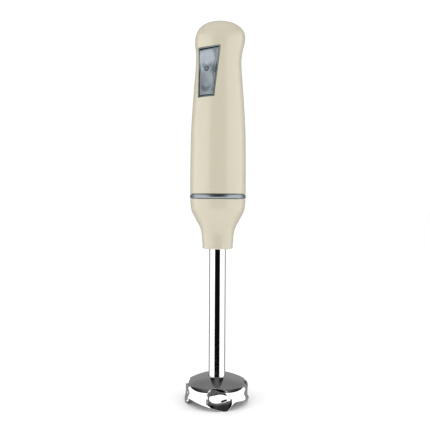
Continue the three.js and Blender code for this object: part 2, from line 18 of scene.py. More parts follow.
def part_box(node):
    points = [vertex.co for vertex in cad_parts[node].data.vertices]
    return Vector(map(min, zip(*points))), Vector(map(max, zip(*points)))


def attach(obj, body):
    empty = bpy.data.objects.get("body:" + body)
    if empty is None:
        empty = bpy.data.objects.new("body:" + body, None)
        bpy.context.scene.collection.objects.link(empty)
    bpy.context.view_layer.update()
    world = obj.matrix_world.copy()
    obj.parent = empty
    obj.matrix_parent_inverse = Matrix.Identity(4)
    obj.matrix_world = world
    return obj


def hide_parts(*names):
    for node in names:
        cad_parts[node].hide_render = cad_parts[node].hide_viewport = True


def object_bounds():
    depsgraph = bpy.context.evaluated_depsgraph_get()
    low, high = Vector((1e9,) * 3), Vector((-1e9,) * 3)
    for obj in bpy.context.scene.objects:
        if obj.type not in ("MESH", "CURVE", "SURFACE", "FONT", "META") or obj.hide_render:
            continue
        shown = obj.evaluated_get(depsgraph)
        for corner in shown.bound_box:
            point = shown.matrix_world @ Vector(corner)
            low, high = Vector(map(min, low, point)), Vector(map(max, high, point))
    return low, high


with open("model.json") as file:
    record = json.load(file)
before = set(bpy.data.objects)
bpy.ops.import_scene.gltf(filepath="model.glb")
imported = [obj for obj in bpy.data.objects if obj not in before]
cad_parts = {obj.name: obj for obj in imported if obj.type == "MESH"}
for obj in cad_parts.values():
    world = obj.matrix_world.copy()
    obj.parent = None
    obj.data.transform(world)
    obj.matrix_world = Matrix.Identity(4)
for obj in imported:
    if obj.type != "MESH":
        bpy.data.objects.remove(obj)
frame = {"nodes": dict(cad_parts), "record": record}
cad_low, cad_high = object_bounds()
MM = 0.001
HEIGHT = cad_high.z - cad_low.z
print("solids:", len(frame["nodes"]), " height in mm:", round(HEIGHT / MM, 1))

# %% [markdown]
# ## The camera
# The blender is seen from about one and a half heights away, level with the middle of the grip,
# and a little to the right of the button. A lens a bit shorter than a portrait lens gives that
# view its slight perspective. The camera is made first, because other steps work out from it
# which side is the front. The Standard view transform keeps cream cream and white white, where
# a film-like one would grey both.

# %% Camera
VIEW_TURN = math.radians(31)
EYE_DISTANCE = 1.399 * HEIGHT
EYE_HEIGHT = 0.521 * HEIGHT
AIM_HEIGHT = 0.4947 * HEIGHT
AIM_LEFT = 0.0074 * HEIGHT
ROLL = math.radians(0.33)
LENS = 44.04
SENSOR = 36
to_eye = Vector((math.sin(VIEW_TURN), -math.cos(VIEW_TURN), 0))
to_right = Vector((math.cos(VIEW_TURN), math.sin(VIEW_TURN), 0))


def make_camera():
    camera = bpy.data.objects.new("camera", bpy.data.cameras.new("camera"))
    bpy.context.scene.collection.objects.link(camera)
    camera.data.lens = LENS
    camera.data.sensor_width = SENSOR
    eye = to_eye * EYE_DISTANCE + Vector((0, 0, EYE_HEIGHT))
    aim = to_right * -AIM_LEFT + Vector((0, 0, AIM_HEIGHT))
    turn = (aim - eye).to_track_quat("-Z", "Y").to_matrix().to_4x4()
    camera.matrix_world = Matrix.Translation(eye) @ turn @ Matrix.Rotation(ROLL, 4, "Z")
    bpy.context.scene.camera = camera
    return camera


camera = make_camera()
bpy.context.scene.view_settings.view_transform = "Standard"
print("camera at", [round(v, 3) for v in camera.matrix_world.translation])

# %% [markdown]
# ## Shader sums as Python
# Node trees are easier to read as formulas. `Value` wraps one output socket, and +, - and * on
# it add Math nodes. `Recipe` is one material: its `add` method makes any other node from its
# type, its settings and what goes into its sockets.

# %% Value and Recipe
class Value:
    """One number that varies over a surface."""

    def __init__(self, recipe, socket):
        self.recipe = recipe
        self.socket = socket

    def math(self, operation, *others):
        inputs = dict(enumerate((self, *others)))
        return self.recipe.add("ShaderNodeMath", {"operation": operation}, inputs)

    def __add__(self, other):
        return self.math("ADD", other)

    def __sub__(self, other):
        return self.math("SUBTRACT", other)

    def __mul__(self, other):
        return self.math("MULTIPLY", other)

    def __rsub__(self, other):
        return self.recipe.add("ShaderNodeMath", {"operation": "SUBTRACT"}, {0: other, 1: self})

    __radd__ = __add__
    __rmul__ = __mul__

    def ramp(self, low, high):
        """0 below low, 1 above high, and smooth between."""
        return self.recipe.add(
            "ShaderNodeMapRange",
            {"interpolation_type": "SMOOTHSTEP"},
            {0: self, 1: low, 2: high, 3: 0.0, 4: 1.0},
        )


class Recipe:
    """The nodes of one material or of the world."""

    def __init__(self, owner, shader="Principled BSDF"):
        owner.use_nodes = True
        self.owner = owner
        self.tree = owner.node_tree
        self.shader = self.tree.nodes[shader]

    def add(self, kind, settings=None, sockets=None, out=0):
        node = self.tree.nodes.new(kind)
        for key, value in (settings or {}).items():
            setattr(node, key, value)
        for key, value in (sockets or {}).items():
            self.feed(node.inputs[key], value)
        return Value(self, node.outputs[out])

    def feed(self, socket, value):
        if isinstance(value, Value):
            self.tree.links.new(value.socket, socket)
        elif socket.type == "RGBA" and len(value) == 3:
            socket.default_value = (*value, 1)
        else:
            socket.default_value = value

    def set(self, **sockets):
        for key, value in sockets.items():
            self.feed(self.shader.inputs[key.replace("_", " ")], value)

    def place(self, stretch=(1, 1, 1)):
        """The point on the piece, in metres, stretched by three factors."""
        point = self.add("ShaderNodeTexCoord", out="Object")
        return self.add("ShaderNodeMapping", None, {"Vector": point, "Scale": stretch})

    def along(self, axis):
        """How far the point on the piece lies along X, Y or Z, in metres."""
        point = self.add("ShaderNodeTexCoord", out="Object")
        return self.add("ShaderNodeSeparateXYZ", None, {0: point}, out=axis)

    def noise(self, scale, detail=2.0, stretch=(1, 1, 1), rough=0.5):
        return self.add(
            "ShaderNodeTexNoise",
            None,
            {"Vector": self.place(stretch), "Scale": scale, "Detail": detail, "Roughness": rough},
        )

    def blend(self, share, first, second):
        return self.add("ShaderNodeMix", {"data_type": "RGBA"}, {0: share, 6: first, 7: second}, out=2)

    def bump(self, height, depth, strength=1.0, under=None):
        sockets = {"Height": height, "Distance": depth, "Strength": strength}
        if under is not None:
            sockets["Normal"] = under
        return self.add("ShaderNodeBump", None, sockets)


def new_recipe(name):
    return Recipe(bpy.data.materials.new(name))


print("shader helpers ready")

# %% [markdown]
# ## Cream plastic
# The handle and the collar are moulded in one glossy, warm cream. Moulded plastic isn't one
# flat colour: the pigment drifts slightly over centimetres, the surface has a very fine grain
# from the mould, and handling leaves patches that are a little duller. Each of these is a noise
# of its own size. A thin coat gives the wet edge of the reflections.

# %% Cream plastic
def cream_plastic():
    recipe = new_recipe("cream_plastic")
    drift = recipe.noise(22, 3, (1, 1, 0.4))
    speck = recipe.noise(1500, 2)
    colour = recipe.blend(drift.ramp(0.3, 0.7), (0.582, 0.541, 0.418), (0.610, 0.568, 0.442))
    colour = recipe.blend(speck.ramp(0.55, 0.8) * 0.12, colour, (0.60, 0.54, 0.40))
    handled = recipe.noise(45, 4, (1, 1, 0.6)).ramp(0.4, 0.75)
    grain = recipe.noise(2600, 3)
    swell = recipe.noise(60, 2)
    recipe.set(
        Base_Color=colour,
        Roughness=0.30 + 0.08 * handled + 0.04 * speck,
        Normal=recipe.bump(grain, 0.00001, 0.5, recipe.bump(swell, 0.00006, 0.35)),
        IOR=1.5,
        Coat_Weight=0.6,
        Coat_Roughness=0.10,
        Subsurface_Weight=0.08,
        Subsurface_Scale=0.002,
        Subsurface_Radius=(1.0, 0.7, 0.4),
    )
    return recipe.owner


FINISHES = {"cream_plastic": cream_plastic()}
print("finishes:", *FINISHES)

# %% [markdown]
# ## Metals
# Polished chrome is almost a mirror: its picture is made by what stands round it. What makes it
# look real is that it isn't perfect, so faint smears change the roughness, and the sheet is
# very slightly uneven. Satin metal was turned on a lathe, so its marks run round the axis: a
# noise stretched across X and Y gives rings. Ground steel carries straight marks, and is dark
# here, because it stands in the shade of the bell.

# %% Metals
def polished_chrome():
    recipe = new_recipe("polished_chrome")
    smear = recipe.noise(35, 5, (1, 1, 0.3)).ramp(0.45, 0.8)
    tone = recipe.noise(18, 2)
    wave = recipe.noise(40, 1)
    recipe.set(
        Base_Color=recipe.blend(tone, (0.86, 0.865, 0.87), (0.93, 0.93, 0.93)),
        Metallic=1.0,
        Roughness=0.045 + 0.05 * smear,
        Normal=recipe.bump(wave, 0.00004, 0.15),
    )
    return recipe.owner


def turned_metal(name, dark, light, rough):
    """Metal with fine marks that run round Z."""
    recipe = new_recipe(name)
    rings = recipe.noise(900, 3, (0.02, 0.02, 1))
    patch = recipe.noise(60, 3)
    recipe.set(
        Base_Color=recipe.blend(rings * 0.5 + patch * 0.5, dark, light),
        Metallic=1.0,
        Roughness=rough - 0.06 + 0.1 * rings + 0.05 * patch,
        Normal=recipe.bump(rings, 0.000006, 0.6),
    )
    return recipe.owner


def blade_steel():
    recipe = new_recipe("blade_steel")
    grind = recipe.noise(1400, 3, (0.04, 1, 1))
    stain = recipe.noise(120, 4).ramp(0.5, 0.8)
    recipe.set(
        Base_Color=recipe.blend(grind, (0.10, 0.104, 0.108), (0.18, 0.184, 0.188)),
        Metallic=1.0,
        Roughness=0.3 + 0.14 * grind + 0.08 * stain,
        Normal=recipe.bump(grind, 0.000008, 0.7),
    )
    return recipe.owner


def enamelled_copper():
    """Lacquered wire: rows of turns show as fine ridges."""
    recipe = new_recipe("copper")
    turns = recipe.add(
        "ShaderNodeTexWave",
        {"wave_type": "BANDS", "bands_direction": "Z"},
        {"Vector": recipe.place(), "Scale": 450, "Distortion": 0.4},
        out=1,
    )
    recipe.set(
        Base_Color=recipe.blend(turns, (0.30, 0.10, 0.04), (0.72, 0.33, 0.15)),
        Metallic=0.85,
        Roughness=0.35 + 0.1 * turns,
        Normal=recipe.bump(turns, 0.0001, 0.8),
    )
    return recipe.owner


FINISHES["polished_chrome"] = polished_chrome()
FINISHES["satin_metal"] = turned_metal("satin_metal", (0.27, 0.305, 0.33), (0.38, 0.42, 0.445), 0.30)
FINISHES["steel"] = turned_metal("steel", (0.40, 0.41, 0.42), (0.60, 0.61, 0.62), 0.34)
FINISHES["brass"] = turned_metal("brass", (0.55, 0.40, 0.16), (0.80, 0.62, 0.30), 0.32)
FINISHES["blade_steel"] = blade_steel()
FINISHES["copper"] = enamelled_copper()
print("finishes:", *FINISHES)

# %% [markdown]
# ## Plastics and rubber that aren't cream
# The button panel is a smoke-grey plastic with a pearly sheen. Its colour carries painted shade:
# darker in its lower half, most on the left, under the top of its window, and in a band beside
# the mark on the right. The hidden mouldings are plain black, green or natural nylon, each with its
# own grain, so that a take-apart view holds up too.

# %% Plastics and rubber
def smoke_plastic():
    """Smoke grey, with painted shade below the mark, under the window's top and beside the mark."""
    recipe = new_recipe("smoke_plastic")
    cloud = recipe.noise(90, 3)
    pearl = recipe.noise(1800, 2)
    across, height = recipe.along("X"), recipe.along("Z")
    lens_low, lens_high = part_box("button_mark_lens")
    mark, top = (lens_low.z + lens_high.z) / 2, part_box("button_bezel")[1].z
    left = 1 - across.ramp(-7 * MM, 6 * MM)
    right = across.ramp(1 * MM, 7 * MM)
    lower = 1 - height.ramp(mark - 7 * MM, mark + 3 * MM)
    window_top_shade = height.ramp(top - 8 * MM, top - 1 * MM)
    over_mark = 1 - height.ramp(mark + 1 * MM, mark + 5 * MM)
    mark_band_shade = height.ramp(mark - 6 * MM, mark - 1 * MM) * over_mark
    # painted shade: the colour darkens below the mark (most on the left), under the window's top and in a
    # band beside the mark on the right
    painted_shade = lower * (0.3 + 0.45 * left) + 0.45 * window_top_shade * (0.4 + 0.6 * left) + 0.45 * mark_band_shade * right
    colour = recipe.blend(cloud.ramp(0.35, 0.7), (0.30, 0.35, 0.385), (0.36, 0.41, 0.445))
    colour = recipe.blend(pearl.ramp(0.6, 0.85) * 0.35, colour, (0.50, 0.56, 0.60))
    # blends the painted shade in, towards a near-black grey
    colour = recipe.blend(painted_shade, colour, (0.045, 0.062, 0.078))
    recipe.set(
        Base_Color=colour,
        Metallic=0.35,
        Roughness=0.22 + 0.08 * cloud + 0.05 * pearl,
        Normal=recipe.bump(pearl, 0.000008, 0.5),
        Coat_Weight=0.7,
        Coat_Roughness=0.06,
    )
    return recipe.owner


def moulded(name, dark, light, rough, grain_scale=1600, grain_depth=0.00003):
    """A plain moulded or cast surface with drifting colour and fine grain."""
    recipe = new_recipe(name)
    grain = recipe.noise(grain_scale, 3)
    drift = recipe.noise(70, 3)
    recipe.set(
        Base_Color=recipe.blend(0.6 * drift + 0.4 * grain, dark, light),
        Roughness=rough - 0.06 + 0.12 * drift,
        Normal=recipe.bump(grain, grain_depth, 0.5),
    )
    return recipe.owner


def board_green():
    """Solder mask with darker tracks under it."""
    recipe = new_recipe("board_green")
    tracks = recipe.add(
        "ShaderNodeTexBrick",
        {"offset": 0.37},
        {
            "Vector": recipe.place(), "Scale": 160, "Mortar Size": 0.04,
            "Color1": (1, 1, 1), "Color2": (0, 0, 0),
        },
        out=1,
    )
    recipe.set(
        Base_Color=recipe.blend(tracks, (0.02, 0.13, 0.05), (0.06, 0.30, 0.12)),
        Roughness=0.32 + 0.1 * recipe.noise(200),
        Normal=recipe.bump(tracks, 0.00004, 0.6),
        Coat_Weight=0.4,
    )
    return recipe.owner


FINISHES["smoke_plastic"] = smoke_plastic()
FINISHES["board_green"] = board_green()
for name, dark, light, rough, *grain in (
    ("mark_lens", (0.17, 0.20, 0.22), (0.26, 0.29, 0.31), 0.2),
    ("dark_plastic", (0.025, 0.027, 0.03), (0.05, 0.053, 0.058), 0.5),
    ("rubber", (0.018, 0.018, 0.019), (0.045, 0.044, 0.043), 0.75, 900, 0.00008),
    ("nylon", (0.62, 0.59, 0.50), (0.76, 0.73, 0.65), 0.45),
    ("carbon", (0.015, 0.015, 0.016), (0.05, 0.05, 0.052), 0.6, 2500, 0.00004),
):
    FINISHES[name] = moulded(name, dark, light, rough, *grain)
print("finishes:", len(FINISHES))

# %% [markdown]
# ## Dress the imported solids
# The record says which finish each solid has. The solids that stay, most of them inside, get
# their finish here, and keep their place and shape.

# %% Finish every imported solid
for part in frame["record"]["subparts"]:
    solid = frame["nodes"][part["node"]]
    solid.data.materials.clear()
    solid.data.materials.append(FINISHES[part["material_slot"]])

# %% [markdown]
# ## Skins with holes
# The casing and the bell guard are thin curved walls with openings in them. Cutting a dense
# mesh with a boolean leaves long thin faces at the cut, and a mirror finish shows each one. So
# a wall is drawn flat first, as on an unrolled sheet: the borders of its holes, a few rows
# beside each border, and a grid over the rest. A triangulation joins these points without
# crossing a border. Then the flat sheet is rolled on to its surface. The rows beside a border
# sink in along a quarter circle, which gives every edge a true rounding.

# %% Flat drawing tools
def closed_line(points):
    """Segments between neighbours of a loop, as two arrays of ends."""
    return points, np.roll(points, -1, axis=0)


def distance_to(points, starts, ends):
    """Shortest distance from each point to any of the segments."""
    best = np.full(len(points), 1e9)
    for a, b in zip(starts, ends):
        along = b - a
        share = np.clip(((points - a) @ along) / max(along @ along, 1e-18), 0, 1)
        best = np.minimum(best, np.hypot(*(points - a - share[:, None] * along).T))
    return best


def inside(points, loop):
    """Which points lie inside a closed loop, by counting crossings."""
    odd = np.zeros(len(points), bool)
    x, y = points.T
    for (ax, ay), (bx, by) in zip(*closed_line(loop)):
        crosses = (ay > y) != (by > y)
        reach = ax + (y - ay) * (bx - ax) / ((by - ay) or 1e-18)
        odd ^= crosses & (x < reach)
    return odd


def grown(loop, amount):
    """The loop moved outwards by amount, corner by corner."""
    ahead = np.roll(loop, -1, axis=0) - np.roll(loop, 1, axis=0)
    out = np.column_stack([ahead[:, 1], -ahead[:, 0]])
    out /= np.hypot(*out.T)[:, None]
    x, y = loop.T
    area = np.sum(x * np.roll(y, -1) - np.roll(x, -1) * y)
    return loop + out * amount * np.sign(area)


def resampled(path, step):
    """Points about one step apart along an open path, with its ends kept."""
    path = np.asarray(path, float)
    run = np.concatenate([[0], np.cumsum(np.hypot(*np.diff(path, axis=0).T))])
    places = np.linspace(0, run[-1], max(2, int(math.ceil(run[-1] / step)) + 1))
    return np.column_stack([np.interp(places, run, path[:, k]) for k in (0, 1)])


def drawn(start, *moves, step=0.5 * MM):
    """A closed loop from a start point and moves: (end) is a line, (control, end) a curve."""
    here = np.array(start, float)
    parts = []
    for move in moves:
        if isinstance(move[0], (int, float)):
            line = np.array([here, move], float)
        else:
            control, end = (np.array(p, float) for p in move)
            t = np.linspace(0, 1, 25)[:, None]
            line = (1 - t) ** 2 * here + 2 * t * (1 - t) * control + t**2 * end
        parts.append(resampled(line, step)[:-1])
        here = line[-1]
    return np.concatenate(parts)


def smooth_line(keys, count=240):
    """A Catmull-Rom curve through key points, as many even steps along it."""
    keys = np.array(keys, float)
    padded = np.vstack([2 * keys[0] - keys[1], keys, 2 * keys[-1] - keys[-2]])
    pieces = []
    for a, b, c, d in zip(padded, padded[1:], padded[2:], padded[3:]):
        t = np.linspace(0, 1, 40)[:-1, None]
        bend = (2 * a - 5 * b + 4 * c - d) * t**2 + (3 * b - a - 3 * c + d) * t**3
        pieces.append(0.5 * (2 * b + (c - a) * t + bend))
    dense = np.vstack([*pieces, keys[-1:]])
    run = np.concatenate([[0], np.cumsum(np.hypot(*np.diff(dense, axis=0).T))])
    return np.column_stack([np.interp(np.linspace(0, run[-1], count), run, dense[:, k]) for k in (0, 1)])


unit_square = np.array([[0, 0], [1, 0], [1, 1], [0, 1.0]])
print("inside a square, and outside it:", inside(np.array([[0.5, 0.5], [2, 2]]), unit_square))

# %% Roll a drawn sheet on to its surface
ROUNDING_ROWS = (0, 0.12, 0.3, 0.55, 0.8, 1.0)
ROW_STEP = 0.866  # height of an even triangle of side 1


def rounding_depth(distance, radius):
    """How far a rounded edge has sunk at a distance from the border."""
    left = np.clip(radius - distance, 0, radius)
    return radius - np.sqrt(np.clip(radius**2 - left**2, 0, None))


def border_rows(across, bottom, top, holes, rounding):
    """Rows beside each border, the edges that join their points, and the borders themselves."""
    rows, edges, borders = [], [], []

    def add(points, closed):
        first = sum(len(row) for row in rows)
        rows.append(points)
        ids = list(range(first, first + len(points)))
        edges.extend(zip(ids, ids[1:] + (ids[:1] if closed else [])))

    for share in ROUNDING_ROWS:
        for line, side in ((bottom, 1), (top, -1)):
            add(np.column_stack([across, line(across) + side * share * rounding]), False)
        for hole in holes:
            add(grown(hole, share * rounding), True)
    for line in (bottom, top):
        row = np.column_stack([across, line(across)])
        borders.append((row[:-1], row[1:]))
    borders.extend(closed_line(hole) for hole in holes)
    return rows, edges, borders


def free_grid(across, bottom, top, holes, step, rounding, rows):
    """A grid of even triangles, kept clear of the borders and of the rows beside them."""
    width = across[-1]
    grid = []
    for k, height in enumerate(np.arange(bottom(across).min(), top(across).max(), step * ROW_STEP)):
        columns = (np.arange(1, len(across) - 1) + (0.5 if k % 2 else 0)) * across[1]
        grid.append(np.column_stack([columns, np.full(len(columns), height)]))
    grid = np.concatenate(grid)
    fits = (grid[:, 1] > bottom(grid[:, 0]) + rounding) & (grid[:, 1] < top(grid[:, 0]) - rounding)
    fits &= (grid[:, 0] > step * 0.6) & (grid[:, 0] < width - step * 0.6)
    grid = grid[fits]
    near = np.zeros(len(grid), bool)
    clear = np.concatenate(rows)
    for chunk in np.array_split(clear, max(1, len(clear) // 200)):
        gap = np.hypot(grid[:, None, 0] - chunk[None, :, 0], grid[:, None, 1] - chunk[None, :, 1])
        near |= gap.min(1) < step * 0.45
    for hole in holes:
        near |= inside(grid, hole)
    return grid[~near]


def triangulated(points, edges):
    """Triangles through the points that cross none of the edges."""
    result = delaunay_2d_cdt([Vector(p) for p in points / MM], edges, [], 0, 1e-5)
    origin = [ids[0] if ids else -1 for ids in result[3]]
    flat = np.array([points[k] if k >= 0 else np.array(v) * MM for k, v in zip(origin, result[0])])
    return flat, np.array(result[2])


def flat_sheet(width, bottom, top, holes, step, rounding):
    """Points, triangles and border segments of a sheet whose left and right edges will meet."""
    across = np.linspace(0, width, int(round(width / step)) + 1)
    rows, edges, borders = border_rows(across, bottom, top, holes, rounding)
    rows.append(free_grid(across, bottom, top, holes, step, rounding, rows))
    seam_low, seam_high = bottom(across[:1])[0] + rounding, top(across[:1])[0] - rounding
    seam = np.linspace(seam_low, seam_high, int((seam_high - seam_low) / step) + 1)[1:-1]
    for side in (0, width):
        rows.append(np.column_stack([np.full(len(seam), side), seam]))
    flat, triangles = triangulated(np.concatenate(rows), edges)
    middles = flat[triangles].mean(1)
    used = (middles[:, 1] > bottom(middles[:, 0]) - 1e-7) & (middles[:, 1] < top(middles[:, 0]) + 1e-7)
    for hole in holes:
        used &= ~inside(middles, hole)
    return flat, triangles[used], borders


def sewn(flat, triangles, width):
    """Joins the right edge of the sheet to its left edge, and drops unused points."""
    left = {round(v[1] / MM, 3): k for k, v in enumerate(flat) if v[0] < 1e-7}
    swap = np.arange(len(flat))
    for k, v in enumerate(flat):
        if v[0] > width - 1e-7:
            swap[k] = left[round(v[1] / MM, 3)]
    joined = swap[triangles]
    kept = np.unique(joined)
    order = np.full(len(flat), -1)
    order[kept] = np.arange(len(kept))
    return flat[kept], order[joined]


def surface_normals(surface, u, v, small=2e-5):
    """Outward normals of a surface from small steps along it."""
    along = surface(u + small, v) - surface(u - small, v)
    up = surface(u, v + small) - surface(u, v - small)
    normal = np.cross(along, up)
    return normal / np.linalg.norm(normal, axis=1)[:, None]


def new_piece(name, points, faces, finish, body, replaced=(), sharp=32):
    """A mesh object with smooth shading, dressed and riding on its body."""
    mesh = bpy.data.meshes.new(name)
    mesh.from_pydata([tuple(p) for p in points], [], [tuple(int(k) for k in f) for f in faces])
    mesh.update()
    mesh.shade_smooth()
    mesh.set_sharp_from_angle(angle=math.radians(sharp))
    piece = bpy.data.objects.new(name, mesh)
    bpy.context.scene.collection.objects.link(piece)
    mesh.materials.append(FINISHES[finish])
    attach(piece, body)
    if replaced:
        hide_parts(*replaced)
    print(f"{name}: {len(mesh.polygons)} faces")
    return piece


def two_faced(front, back, triangles):
    """A closed wall: a front sheet, a back sheet with the same triangles, and its rims."""
    count = len(front)
    seen = {}
    for a, b, c in triangles:
        for pair in ((a, b), (b, c), (c, a)):
            seen[pair] = True
    faces = [tuple(t) for t in triangles]
    faces += [(a + count, c + count, b + count) for a, b, c in triangles]
    faces += [(b, a, a + count, b + count) for a, b in seen if (b, a) not in seen]
    return np.concatenate([front, back]), faces


def rolled_skin(surface, width, bottom, top, holes, step, rounding, wall):
    """Points and faces of a closed wall: outer face, inner face, and a strip round each border."""
    flat, triangles, borders = flat_sheet(width, bottom, top, holes, step, rounding)
    flat, triangles = sewn(flat, triangles, width)
    starts, ends = (np.concatenate(side) for side in zip(*borders))
    spot = surface(*flat.T)
    normal = surface_normals(surface, *flat.T)
    sink = rounding_depth(distance_to(flat, starts, ends), rounding)
    return two_faced(spot - normal * sink[:, None], spot - normal * wall, triangles)


print("rolling tools ready")

# %% [markdown]
# ## The handle's form
# The handle is a turned body with a waist, but its head leans back a little and its rim is
# higher behind than over the button. So the form is a profile turned round the axis, with two
# gentle shears that fade in above the waist. Heights and radii are shares of the casing's box,
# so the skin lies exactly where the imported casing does.

# %% Handle surface
casing_low, casing_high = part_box("handle_casing")
GRIP_RADIUS = casing_high.x
CASING_FOOT = casing_low.z
CASING_TOP = casing_high.z
RIM_SHARE = 0.9054
WAIST_SHARE = 0.7635
HEAD_SETBACK = 0.0903 * GRIP_RADIUS
HEAD_TILT = 0.18


def casing_key(radius_share, height_share):
    return (radius_share * GRIP_RADIUS, CASING_FOOT + height_share * (CASING_TOP - CASING_FOOT))


SIDE_KEYS = [(1, 0), (0.9964, 0.1957), (0.9747, 0.3731), (0.9061, 0.5624), (0.8231, 0.7398),
             (0.8267, 0.8167), (0.8953, 0.8817), (0.9061, RIM_SHARE)]
CROWN_KEYS = [(0.9061, RIM_SHARE), (0.8628, 0.9438), (0.7292, 0.974), (0.4693, 0.9953), (0, 1)]
side_line = smooth_line([casing_key(*key) for key in SIDE_KEYS])
crown_line = smooth_line([casing_key(*key) for key in CROWN_KEYS], 120)
casing_line = np.vstack([side_line, crown_line[1:]])
casing_run = np.concatenate([[0], np.cumsum(np.hypot(*np.diff(casing_line, axis=0).T))])
CASING_WIDTH = 2 * math.pi * GRIP_RADIUS


def eased(value, low, high):
    share = np.clip((value - low) / (high - low), 0, 1)
    return share * share * (3 - 2 * share)


def head_share(z):
    return eased(z, casing_key(0, WAIST_SHARE)[1], casing_key(0, RIM_SHARE)[1])


def leaned(x, y, z):
    """The head's lean: back by a fixed amount, and its rim up towards the back."""
    head = head_share(z)
    rim = head * (1 - eased(z, casing_key(0, RIM_SHARE)[1], CASING_TOP))
    return np.stack([x, y + HEAD_SETBACK * head, z + HEAD_TILT * y * rim], axis=-1)


def casing_surface(u, v):
    """Sheet to casing: u runs round from the back, v up along the profile."""
    angle = u / CASING_WIDTH * 2 * math.pi - math.pi
    radius = np.interp(v, casing_run, casing_line[:, 0])
    height = np.interp(v, casing_run, casing_line[:, 1])
    return leaned(radius * np.sin(angle), -radius * np.cos(angle), height)


def casing_spot(x, z, front=True):
    """Where a point seen straight from the front, or the back, lies on the sheet."""
    height = np.array(z, float)
    side = -1 if front else 1
    for _ in range(12):
        radius = np.interp(height, side_line[:, 1], side_line[:, 0])
        y = side * np.sqrt(np.clip(radius**2 - x**2, 0, None))
        height = z - HEAD_TILT * y * head_share(height)
    angle = np.arctan2(x, -y)
    u = (angle + math.pi) / (2 * math.pi) * CASING_WIDTH
    v = np.interp(height, side_line[:, 1], casing_run[: len(side_line)])
    return np.column_stack([u, v])


print("grip radius in mm:", round(GRIP_RADIUS / MM, 2))

# %% [markdown]
# ## The casing
# One moulded shell with a tall window for the button, a round hole behind for the cord's
# gland and five air slots. The seam of the sheet would cross the holes behind, so the sheet's
# edges are put at the side, where nothing is.

# %% Casing
WALL = 2.4 * MM
bezel_low, bezel_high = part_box("button_bezel")
WINDOW_LOW = bezel_low.z - 0.3 * MM
WINDOW_HIGH = bezel_high.z + 0.3 * MM
WINDOW_TOP_HALF = bezel_high.x + 0.3 * MM
WINDOW_FOOT_HALF = 9.5 * MM
WINDOW_WAIST = 10.8 * MM
WINDOW_SAG = 0.9 * MM
SLOT_LOW, SLOT_HIGH, SLOT_HALF, SLOT_STEP = 294 * MM, 308 * MM, 1 * MM, 4.5 * MM
GLAND_HOLE = 6.3 * MM
gland_low, gland_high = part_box("cord_gland")
GLAND_HEIGHT = (gland_low.z + gland_high.z) / 2


def window_outline(inset, corner=0.8 * MM):
    """The button window seen from the front, drawn in by inset."""
    low, high = WINDOW_LOW + inset, WINDOW_HIGH - inset
    foot, top, waist = (half - inset for half in (WINDOW_FOOT_HALF, WINDOW_TOP_HALF, WINDOW_WAIST))
    middle = (low + high) / 2
    return drawn(
        (-foot + corner, low),
        (foot - corner, low),
        ((foot, low), (foot, low + corner)),
        ((waist, middle), (top, high - corner)),
        ((top, high), (top - corner, high)),
        ((0, high - WINDOW_SAG * 2), (-top + corner, high)),
        ((-top, high), (-top, high - corner)),
        ((-waist, middle), (-foot, low + corner)),
        ((-foot, low), (-foot + corner, low)),
    )


def round_outline(x, z, radius, count=48):
    turn = np.linspace(0, 2 * math.pi, count, endpoint=False)
    return np.column_stack([x + radius * np.cos(turn), z + radius * np.sin(turn)])


def slot_outline(x, low, high, half):
    """An upright slot with round ends."""
    turn = np.linspace(0, math.pi, 10)
    top = np.column_stack([x + half * np.cos(turn), high - half + half * np.sin(turn)])
    foot = np.column_stack([x - half * np.cos(turn), low + half - half * np.sin(turn)])
    return np.vstack([top, foot])


def shifted(loop):
    """Moves the seam of the sheet from the back to the side."""
    return np.column_stack([(loop[:, 0] + CASING_WIDTH / 4) % CASING_WIDTH, loop[:, 1]])


def side_seam_surface(u, v):
    return casing_surface(u - CASING_WIDTH / 4, v)


def level_line(value):
    return lambda u: np.full(np.shape(u), float(value))


def make_casing():
    holes = [casing_spot(*window_outline(0).T)]
    ring = round_outline(0, GLAND_HEIGHT, GLAND_HOLE)
    holes.append(casing_spot(*ring.T, front=False))
    for k in (-2, -1, 0, 1, 2):
        slot = slot_outline(k * SLOT_STEP, SLOT_LOW, SLOT_HIGH, SLOT_HALF)
        holes.append(casing_spot(*slot.T, front=False))
    points, faces = rolled_skin(
        side_seam_surface, CASING_WIDTH, level_line(0), level_line(casing_run[-1] - 1.5 * MM),
        [shifted(hole) for hole in holes], 1.6 * MM, 0.6 * MM, WALL,
    )
    new_piece("handle_casing_skin", points, faces, "cream_plastic", "handle", ["handle_casing"])


make_casing()

# %% [markdown]
# ## The button's frame
# A thin lining stands in the window, a little below the casing's face, and follows its
# outline. It is drawn as two loops on the handle's form, each with a small rounded lip. It needs
# only six rings of points. It stays shallow, because the button's ends sink as it rocks, and
# the window's walls close in with depth.

# %% Button frame
BEZEL_GAP = 0.3 * MM
BEZEL_SET_BACK = 0.4 * MM
BEZEL_DEPTH = 1.4 * MM
BEZEL_WIDTH = 0.7 * MM


def front_point(x, z, depth=0.0):
    """A point of the handle's front, seen from the front, sunk along the surface's normal."""
    flat = casing_spot(x, z)
    spot = casing_surface(*flat.T)
    return spot - surface_normals(casing_surface, *flat.T) * np.asarray(depth)[..., None]


def ringed(loops, closed_ends=False):
    """Joins loops of equal length into a tube; the last meets the first unless the ends close."""
    count = len(loops[0])
    points = np.concatenate(loops)
    faces = []
    pairs = zip(range(len(loops) - 1), range(1, len(loops)))
    for here, there in [*pairs, *([] if closed_ends else [(len(loops) - 1, 0)])]:
        for k in range(count):
            after = (k + 1) % count
            faces.append((here * count + k, here * count + after, there * count + after, there * count + k))
    return points, faces


